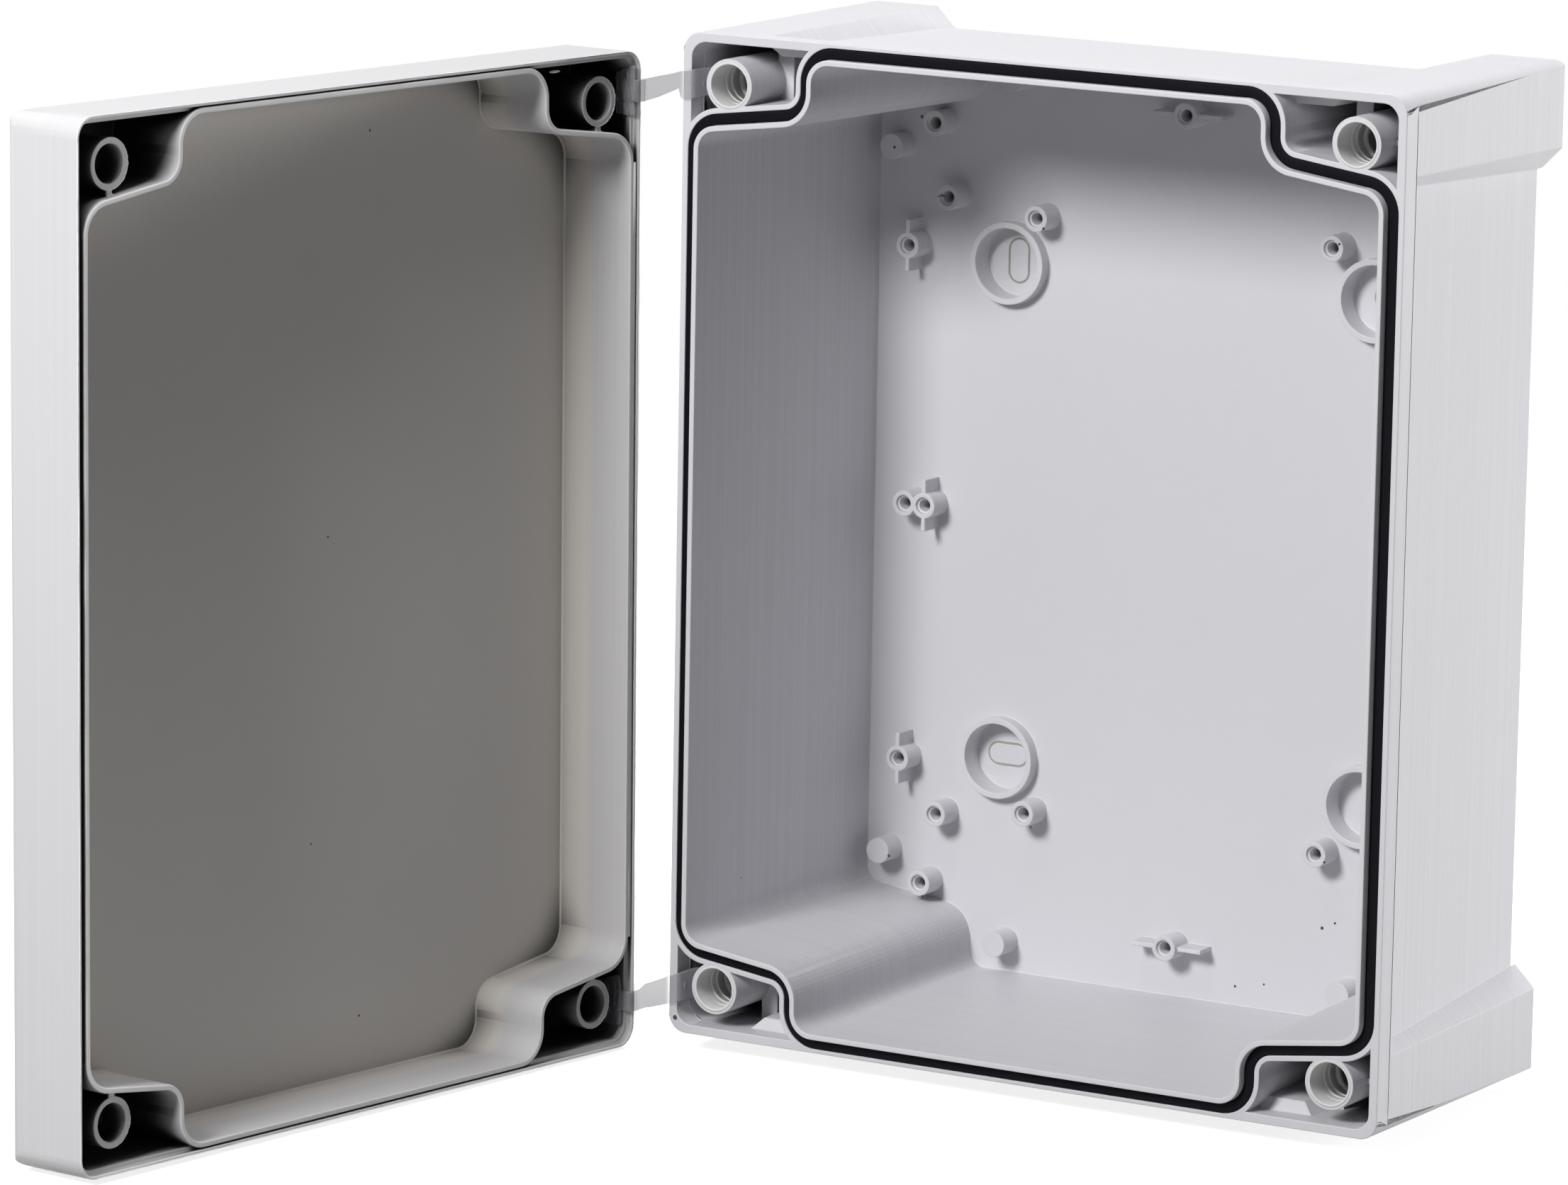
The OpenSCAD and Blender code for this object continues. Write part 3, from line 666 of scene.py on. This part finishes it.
class HOUSING_OT_threads(bpy.types.Operator):
    """Make the lining, the coarse thread and the catch ring inside the four screw tubes of the tray"""
    bl_idname = "housing.threads"
    bl_label = "Tube Threads"

    # Closed sections as (radius, depth): the lining with its round mouth, and the ring that the wings grip.
    LINING = ((5.55, -0.02), (5.15, -0.02), (4.98, 0.03), (4.9, 0.2), (4.86, 6.0), (4.84, 12.4), (5.55, 12.4))
    CATCH = ((5.3, 12.4), (4.4, 12.4), (4.1, 12.7), (4.1, 14.2), (5.3, 14.2))

    def execute(self, context):
        s = sizes()
        # The parts of one tube, each with whether it closes on itself.
        rings = [(self.ring(self.LINING), True), (self.ring(self.CATCH), True), (self.thread(), False)]
        parts = [(ring + np.array([sx * s.screw_x, s.rim_depth, sz * s.screw_z]),
                  grid_faces(*ring.shape[:2], closed_rows=closed, closed_columns=True))
                 for sx in SIDES for sz in SIDES for ring, closed in rings]
        threads = piece("tube_threads", *joined(parts), "tray", "tray_plastic")
        # The lining and the thread take the tray's plastic, with its painted shade deep in the tubes.
        paint(threads, bpy.data.materials["tray_plastic"])
        return {"FINISHED"}

    def ring(self, section):
        """A section of radius and depth carried once round the tube's axis."""
        angle = np.linspace(0, 2 * math.pi, 96, endpoint=False)[:, None]
        radius, depth = np.array(section).T * MM
        return np.stack([radius * np.cos(angle), depth + 0 * angle, radius * np.sin(angle)], axis=-1)

    def thread(self):
        """A ridge on a helix of two turns and a half inside the bore; its height swells and fades again."""
        first, turned = math.radians(200), math.radians(900)
        root, foot, from_rim, rise = 4.95 * MM, 0.1 * MM, 4.6, 6.0
        turn = np.linspace(0, 1, 150)
        swell = np.clip(np.sin(turn * math.pi) * 4, 0, 1)[:, None]
        # Section of the ridge: (toward the tube's axis, along the tube), rooted just inside the lining.
        section = np.array([[-0.1, -0.6], [0.12, -0.3], [0.2, 0.0], [0.12, 0.3], [-0.1, 0.6]]) * MM
        angle = first + turn * turned
        end = np.where((turn == 0) | (turn == 1), 0.0, 1.0)[:, None]
        radius = root - (section[:, 0] + foot) * swell * end
        y = (from_rim + rise * turn[:, None]) * MM + section[:, 1] * (0.3 + 0.7 * swell) * end
        return np.stack([radius * np.cos(angle)[:, None], y, radius * np.sin(angle)[:, None]], axis=-1)


class HOUSING_OT_straps(bpy.types.Operator):
    """Make the two soft straps: a plate in the lid, a loop over its rim, and a flat to the tray"""
    bl_idname = "housing.straps"
    bl_label = "Straps"

    # The loop as (s, n) over the lid's rim; the flat and its tab as (x, y), from lid to tray.
    LOOP = ((2.45, -2.7), (2.45, 0.3), (2.1, 0.85), (0.8, 1.0), (-0.5, 0.9))
    FLAT = ((-102.0, -82.3), (-100.8, -82.6), (-99.3, -82.8), (-97.0, -83.0), (-95.45, -83.1), (-95.1, -83.1),
            (-93.5, -83.15), (-92.1, -82.8), (-91.4, -81.5), (-90.6, -79.6), (-89.7, -77.8))
    # Lower and upper edge heights at the same stations.
    TOP_LOOP = (107.4, 112.6)
    TOP_LOW = (103.9, 104.4, 105.0, 106.0, 106.8, 104.1, 104.2, 104.4, 104.5, 104.8, 104.8)
    TOP_HIGH = (108.8, 109.1, 109.4, 110.0, 110.5, 110.6, 110.9, 111.2, 111.3, 111.4, 111.5)
    BOTTOM_LOOP = (-111.1, -106.3)
    BOTTOM_LOW = (-115.4, -115.0, -114.6, -113.9, -113.4, -113.3, -112.8, -112.4, -112.2, -111.8, -111.6)
    BOTTOM_HIGH = (-109.6, -109.0, -108.4, -107.4, -106.7, -106.6, -105.9, -105.4, -105.1, -104.8, -104.6)
    # Plates as (n, lower edge, upper edge) on the inner face of the lid's hinge wall.
    TOP_PLATE = ((-5.2, 104.3, 113.6), (-4.8, 104.3, 114.0), (-1.8, 104.2, 115.5), (0.0, 104.2, 116.0),
                 (0.5, 104.4, 115.7))
    BOTTOM_PLATE = ((-9.0, -114.7, -104.7), (-6.4, -114.7, -103.8), (-2.6, -114.6, -102.6),
                    (-2.2, -114.6, -103.2), (-1.7, -114.5, -105.5))

    def execute(self, context):
        mat = self.cloudy_plastic()
        for name, node, loop, low, high, plate, bump, seed in (
                ("strap_soft_top", "strap_top", self.TOP_LOOP, self.TOP_LOW, self.TOP_HIGH, self.TOP_PLATE,
                 (-90.95, -80.3, 107.7), 3),
                ("strap_soft_bottom", "strap_bottom", self.BOTTOM_LOOP, self.BOTTOM_LOW, self.BOTTOM_HIGH,
                 self.BOTTOM_PLATE, (-91.35, -81.4, -108.5), 8)):
            points, faces = joined([self.band(loop, low, high), self.plate(plate, seed), self.bump(bump)])
            strap = piece(name, points, faces, slot="strap_plastic")
            paint(strap, mat)
            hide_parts(node)
            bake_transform(strap)
        return {"FINISHED"}

    def band(self, loop, low, high):
        """The strap from the lid's inner wall to the tray's pocket, as wide as its two edge lines say."""
        s, n = np.array(self.LOOP).T[:, :, None] * MM
        lid = lid_wall_point(s, np.array(loop) * MM, n)
        lid_part = np.concatenate([lid.mean(axis=1)[:, :2], lid[:, :, 2]], axis=1)
        flat = np.column_stack([self.FLAT, low, high]) * MM
        path = smooth_path(np.concatenate([lid_part, flat]), 90, 0.35 * MM)
        ahead = unit(np.gradient(path[:, :2], axis=0))
        normal = np.stack([ahead[:, 1], -ahead[:, 0], 0 * ahead[:, 0]], axis=-1)
        v = np.concatenate([[0], np.linspace(0.05, 0.95, 8), [1]])
        z = path[:, 2:3] * (1 - v) + path[:, 3:4] * v
        middle = np.stack([path[:, :1] + 0 * z, path[:, 1:2] + 0 * z, z], axis=-1)
        return slab(middle, normal[:, None, :] + 0 * middle, sizes().strap_thick)

    def plate(self, outline, seed):
        """The crumpled plate on the hinge wall: a sheet between two edge lines with standing creases."""
        wall, crease, ragged_edge, ragged_side, thick = 2.75, 0.28, 0.18, 0.25, 0.45 * MM
        n0, low, high = np.array(outline).T
        n = np.linspace(n0[0], n0[-1], 34)[:, None]
        v = np.linspace(0, 1, 40)
        low = np.interp(n[:, 0], n0, low)[:, None] + ragged_edge * wave_noise(n, seed, 7, 1.4)
        high = np.interp(n[:, 0], n0, high)[:, None] + ragged_edge * wave_noise(n, seed + 1, 7, 1.4)
        z = low + (high - low) * v
        ragged = ragged_side * wave_noise(v * 12, seed + 2, 6, 0.5)
        bend = wave_noise(n + 0.5 * wave_noise(v * 9, seed + 4, 4, 0.4), seed + 3, 5, 1.1)
        s = wall + crease * bend * np.sin(v * math.pi) ** 0.5
        middle = lid_wall_point(s * MM, z * MM, (n + ragged) * MM)
        across = np.cross(np.gradient(middle, axis=1), np.gradient(middle, axis=0))
        return slab(middle, unit(across), thick)

    def bump(self, place):
        """A small lens on the tab."""
        points, faces = ellipsoid(place, (0.55, 0.55, 1.15))
        return points * MM, faces

    def cloudy_plastic(self):
        """Soft, cloudy, half clear plastic, clearer where it is stretched over the tray's rim and thicker at
        its tab: box masks on the place across the box set the alpha."""
        mat, tree, shader, skin = skin_material("strap_plastic", finish().strap, 0.25, 0.34, grain=0.3)
        alpha = 0.45
        for x, half, here in ((-93.9, 1.4, 0.2), (-89.4, 3.0, 0.62)):
            mask = group_node(tree, "Box Mask", (-600, -500), {
                "Vector": skin_place(skin), "Middle": (x * MM, 0, 0), "Half Size": (half * MM, 1, 1),
                "Soft": 0.5 * MM})
            alpha = add_node(tree, "MapRange", (-300, -500), {
                "Value": mask.outputs[0], "To Min": alpha, "To Max": here}).outputs[0]
        connect(tree, shader, {"Alpha": alpha})
        return mat


class HOUSING_OT_flash(bpy.types.Operator):
    """Make the thin moulding flash that stands along the lid's rim and on the ends of its screw tubes"""
    bl_idname = "housing.flash"
    bl_label = "Moulding Flash"

    # A loose sliver in the lid's upper pocket: its place (s, z, n) and its half sizes.
    FLAKE = (28.3, 116.4, -2.2, 1.9, 0.35, 0.3)
    FIN_WIDTH = 0.2 * MM

    def execute(self, context):
        s = sizes()
        parts = [self.ragged_fin(self.rim_line(s), 0.0, 0.24 * MM, 11)]
        angle = np.linspace(0, 2 * math.pi, 160, endpoint=False)
        ring = (s.lid_tube - 0.12 * MM) * np.stack([np.cos(angle), np.sin(angle)], axis=-1)
        for k, (sx, sz) in enumerate([(a, b) for a in SIDES for b in SIDES]):
            middle = np.array([sx * s.screw_x, sz * s.screw_z])
            parts.append(self.ragged_fin(middle + ring, -s.tube_short, 0.22 * MM, 20 + k))
        flake, quads = ellipsoid(self.FLAKE[:3], self.FLAKE[3:])
        parts += [(lid_wall_point(*(flake * MM).T), quads), self.bridge()]
        flash = piece("lid_flash", *joined(parts), "lid")
        # Painted light: the fins and the bridge take the pale rim colour, which paints the light along the
        # lid's rim; the loose sliver is pale of itself.
        mat, skin = moulded_plastic("lid_flash", finish().lid_rim_painted_light, cloud=0.1, grain=0.6)
        paint(flash, mat)
        return {"FINISHED"}

    def bridge(self):
        """The skin that closes the slot along the hinge wall: a flat bar with its section in (s, n)."""
        section = np.array([[1.35, -0.1], [2.3, -0.1], [2.3, -0.6], [1.35, -0.6]]) * MM
        stations, reach = 12, 93
        z = np.linspace(-reach, reach, stations)[:, None] * MM
        points = lid_wall_point(section[:, 0] + 0 * z, z, section[:, 1] + 0 * z)
        first = np.arange(4)
        ends = np.stack([first, 4 * stations - 1 - first])
        return points, np.concatenate([grid_faces(stations, 4, closed_columns=True), ends])

    def rim_line(self, s):
        """The lid's rim outline just inside its outer corner, as x-z points: a round-cornered rectangle."""
        w, h, r = s.half_width - 0.1 * MM, s.half_height - 0.6 * MM, 4.9 * MM
        turn = np.linspace(0, math.pi / 2, 16)
        corners = []
        for k, (cx, cz) in enumerate(((w, h), (-w, h), (-w, -h), (w, -h))):
            a = turn + k * math.pi / 2
            corners.append(np.stack([cx - math.copysign(r, cx) + r * np.cos(a),
                                     cz - math.copysign(r, cz) + r * np.sin(a)], axis=-1))
        line = np.concatenate(corners + [corners[0][:1]])
        along = np.concatenate([[0], np.cumsum(np.linalg.norm(np.diff(line, axis=0), axis=1))])
        even = np.linspace(0, along[-1], 900, endpoint=False)
        return np.stack([np.interp(even, along, line[:, 0]), np.interp(even, along, line[:, 1])], axis=-1)

    def ragged_fin(self, line, base, height, seed):
        """A closed fin along a line on the closed lid; its height wanders up to its full size."""
        usual, swing, least, root = 0.35, 0.5, 0.05, -0.05 * MM
        t = np.linspace(0, 2 * math.pi, len(line), endpoint=False)
        wander = wave_noise(np.round(t * 1e6) / 1e6 * 3, seed, 14, 1.0)
        rough = np.random.default_rng(seed).random(len(line)) * 0.4
        out = height * np.clip(usual + swing * wander + rough, least, 1.0)
        ahead = unit(np.roll(line, -1, axis=0) - np.roll(line, 1, axis=0))
        side = np.stack([ahead[:, 1], -ahead[:, 0]], axis=-1) * self.FIN_WIDTH / 2
        ring = []
        for offset, level in ((-1, root), (0, out), (1, root)):
            x, z = (line + offset * side).T
            ring.append(hung(closed_lid(x, z, -base - level)))
        quads = grid_faces(len(line), 3, closed_rows=True, closed_columns=True)
        return np.stack(ring, axis=1), quads[:, ::-1]


class HOUSING_OT_specks(bpy.types.Operator):
    """Make the few dark specks that lie in the tray, on its rim and on the lid's panel"""
    bl_idname = "housing.specks"
    bl_label = "Specks"

    # Places as (x, z) with the size of the speck, on the post tops, on the floor and on the rim.
    ON_POSTS = ((-79.1, 86.5, 0.35), (-37.5, 70.4, 0.35), (-71.6, 94.5, 0.4), (-76.7, -87.4, 0.35),
                (-67.0, -96.3, 0.3), (-37.2, -75.4, 0.3), (42.7, -73.9, 0.3), (41.9, 73.8, 0.3))
    ON_FLOOR = ((16.2, -108.8, 0.3), (24.0, -107.3, 0.25), (39.2, -91.5, 0.4), (42.6, -89.9, 0.3))
    ON_RIM = ((-93.2, -116.5, 0.55),)
    # On the lid's panel, as (s, z) with the size.
    ON_PANEL = ((86.2, 11.7, 0.28), (72.1, 104.9, 0.3), (75.2, -103.2, 0.3), (91.9, -59.7, 0.25))

    def execute(self, context):
        s = sizes()
        levels = (s.post_front, self.ON_POSTS), (s.floor_front, self.ON_FLOOR), (s.rim_depth, self.ON_RIM)
        places = [(x, y / MM, z, r) for y, specks in levels for x, z, r in specks]
        panel = (s.rim_depth - s.seam - s.panel_depth) / MM
        on_lid = [(a - s.half_width / MM, panel, z, r) for a, z, r in self.ON_PANEL]
        mat = skin_material("dark_specks", finish().speck, 0.6, 0.6, lines=0.05, relief=0)[0]
        paint(self.grains("dark_specks", places, "tray"), mat)
        paint(self.grains("lid_specks", on_lid, "lid"), mat)
        return {"FINISHED"}

    def grains(self, name, places, body):
        """Uneven flat ellipsoids, half sunk in the surface; places on the lid are those of the closed lid."""
        rng = np.random.default_rng(5)
        parts = []
        for x, y, z, r in places:
            ball, quads = ellipsoid((0, 0, 0), (r, 0.35 * r, r))
            rough = 0.8 + 0.35 * rng.random(BALL)
            rough[[0, -1]] = 1.0
            parts.append(((np.array([x, y, z]) + ball * rough.reshape(-1, 1)) * MM, quads))
        points, faces = joined(parts)
        return piece(name, hung(points) if body == "lid" else points, faces, body)


class HOUSING_OT_stage(bpy.types.Operator):
    """Make the floor, lamps, background and camera"""
    bl_idname = "housing.stage"
    bl_label = "Stage"

    FLOOR_REACH = 4
    # Lamps as (name, azimuth, elevation, size).
    LAMPS = (("key", -10, 29, 0.38), ("high", -10, 65, 0.3), ("side", 130, 4, 0.6), ("top", 190, 78, 0.7))
    LAMP_AIM = Vector((-0.02, -0.08, 0.0))
    # The photograph's camera, fitted to its edges: place, angles in degrees, focal length and width of the
    # photograph in pixels, and the sensor's width.
    CAMERA_PLACE = (0.98914, -1.83545, 0.36589)
    AZIMUTH, ELEVATION, ROLL = 31.02, 10.42, 1.03
    FOCAL, PHOTO_WIDTH = 12496, 2212
    SENSOR = 36

    def execute(self, context):
        scene = context.scene
        st = scene.housing_stage
        corners = [(x * self.FLOOR_REACH, y * self.FLOOR_REACH, st.floor_drop)
                   for x, y in ((-1, -1), (1, -1), (1, 1), (-1, 1))]
        floor = piece("floor", corners, [(0, 1, 2, 3)], smooth=False)
        self.paint_floor(floor)
        self.background(scene)
        for name, azimuth, elevation, size in self.LAMPS:
            self.lamp(name + "_lamp", azimuth, elevation, size, getattr(st, name), st.lamp_distance)
        self.camera(scene)
        scene.view_settings.view_transform = "Standard"
        return {"FINISHED"}

    def paint_floor(self, floor):
        """White to the camera, with the object's soft shadow; a pale grey to all other light.

        To camera, glossy and transmission rays the floor near the object is part glow and part lit white,
        so that it comes out just white where the lamps reach it; further away it is all glow.
        """
        mat = bpy.data.materials.new("floor_white")
        tree = empty_tree(mat)
        pale = add_node(tree, "BsdfDiffuse", (200, -240), Color=(0.3, 0.3, 0.3, 1))
        lit = add_node(tree, "BsdfDiffuse", (-200, 100), Color=(0.8, 0.8, 0.8, 1))
        glow = add_node(tree, "Emission", (-200, -60), Color=(1, 1, 1, 1), Strength=0.8)
        near = add_node(tree, "AddShader", (0, 60), (lit.outputs[0], glow.outputs[0]))
        white = add_node(tree, "Emission", (0, -120), Color=(1, 1, 1, 1), Strength=1.0)
        coords = add_node(tree, "TexCoord", (-800, 300))
        away = add_node(tree, "VectorMath", (-600, 300), [coords.outputs["Object"]], operation="LENGTH")
        fade = add_node(tree, "MapRange", (-400, 300), {
            "Value": away.outputs["Value"], "From Min": 0.35, "From Max": 0.9})
        seen = add_node(tree, "MixShader", (200, 60), (fade.outputs[0], near.outputs[0], white.outputs[0]))
        sharp = self.sharp_rays(tree)
        both = add_node(tree, "MixShader", (500, 0), (sharp, pale.outputs[0], seen.outputs[0]))
        add_node(tree, "OutputMaterial", (800, 0), {"Surface": both.outputs[0]})
        floor.data.materials.append(mat)

    def sharp_rays(self, tree):
        """1 for rays from the camera, by reflection or through a clear body, and 0 for all other light."""
        path = add_node(tree, "LightPath", (-900, -200)).outputs
        some = result(tree, (-700, -200), "ADD", path["Is Camera Ray"], path["Is Transmission Ray"])
        return result(tree, (-500, -200), "ADD", some, path["Is Glossy Ray"], use_clamp=True)

    def background(self, scene):
        """A white that camera, glossy and transmission rays see; it gives no other light."""
        scene.world = bpy.data.worlds.new("studio")
        tree = empty_tree(scene.world)
        dark = add_node(tree, "Background", (0, 100), Color=(0, 0, 0, 1), Strength=1.0)
        white = add_node(tree, "Background", (0, -100), Color=(1, 1, 1, 1), Strength=1.0)
        sharp = self.sharp_rays(tree)
        mix = add_node(tree, "MixShader", (300, 0), (sharp, dark.outputs[0], white.outputs[0]))
        add_node(tree, "OutputWorld", (600, 0), {"Surface": mix.outputs[0]})

    def lamp(self, name, azimuth, elevation, size, power, distance):
        """A round lamp aimed at the box, at an azimuth right of the front and an elevation in degrees."""
        data = bpy.data.lights.new(name, "AREA")
        data.shape = "DISK"
        data.size = size
        data.energy = power
        a, e = math.radians(azimuth), math.radians(elevation)
        place = distance * Vector((math.sin(a) * math.cos(e), -math.cos(a) * math.cos(e), math.sin(e)))
        turn = (self.LAMP_AIM - place).to_track_quat("-Z", "Y")
        obj = bpy.data.objects.new(name, data)
        obj.matrix_world = Matrix.Translation(place) @ turn.to_matrix().to_4x4()
        bpy.context.scene.collection.objects.link(obj)

    def camera(self, scene):
        """The photograph's view: azimuth to the right, a little above, slightly rolled, long lens."""
        azimuth, elevation, roll = (math.radians(a) for a in (self.AZIMUTH, self.ELEVATION, self.ROLL))
        ahead = Vector((-math.sin(azimuth) * math.cos(elevation), math.cos(azimuth) * math.cos(elevation),
                        -math.sin(elevation)))
        level = Vector((math.cos(azimuth), math.sin(azimuth), 0))
        upright = level.cross(ahead)
        right = math.cos(roll) * level + math.sin(roll) * upright
        up = -math.sin(roll) * level + math.cos(roll) * upright
        data = bpy.data.cameras.new("camera")
        data.sensor_fit = "HORIZONTAL"
        data.sensor_width = self.SENSOR
        data.lens = self.FOCAL * self.SENSOR / self.PHOTO_WIDTH
        data.clip_start = 0.1
        data.clip_end = 20
        obj = bpy.data.objects.new("camera", data)
        turn = Matrix((right, up, -ahead)).transposed()
        obj.matrix_world = Matrix.Translation(self.CAMERA_PLACE) @ turn.to_4x4()
        scene.collection.objects.link(obj)
        scene.camera = obj


class HOUSING_PT_panel(bpy.types.Panel):
    """Sizes, finishes and the pieces of the housing"""
    bl_idname = "HOUSING_PT_panel"
    bl_label = "Housing"
    bl_space_type = "VIEW_3D"
    bl_region_type = "UI"
    bl_category = "Housing"

    def draw(self, context):
        for group in (context.scene.housing_sizes, context.scene.housing_finish, context.scene.housing_stage):
            box = self.layout.box()
            for key in group.__annotations__:
                box.prop(group, key)
        for operator in OPERATORS:
            self.layout.operator(operator.bl_idname)


OPERATORS = (HOUSING_OT_stage, HOUSING_OT_tray, HOUSING_OT_lid, HOUSING_OT_screws, HOUSING_OT_seal,
             HOUSING_OT_cup_lines, HOUSING_OT_threads, HOUSING_OT_straps, HOUSING_OT_flash, HOUSING_OT_specks)
GROUPS = (HousingSizes, HousingFinish, HousingStage)


def register():
    for cls in GROUPS + OPERATORS + (HOUSING_PT_panel,):
        bpy.utils.register_class(cls)
    bpy.types.Scene.housing_sizes = bpy.props.PointerProperty(type=HousingSizes)
    bpy.types.Scene.housing_finish = bpy.props.PointerProperty(type=HousingFinish)
    bpy.types.Scene.housing_stage = bpy.props.PointerProperty(type=HousingStage)


def unregister():
    del bpy.types.Scene.housing_sizes
    del bpy.types.Scene.housing_finish
    del bpy.types.Scene.housing_stage
    for cls in reversed(GROUPS + OPERATORS + (HOUSING_PT_panel,)):
        bpy.utils.unregister_class(cls)


def main():
    register()
    bpy.ops.housing.stage()
    bpy.ops.housing.tray()
    bpy.ops.housing.lid()
    bpy.ops.housing.screws()
    bpy.ops.housing.seal()
    bpy.ops.housing.cup_lines()
    bpy.ops.housing.threads()
    bpy.ops.housing.straps()
    bpy.ops.housing.flash()
    bpy.ops.housing.specks()


if __name__ == "__main__":
    main()
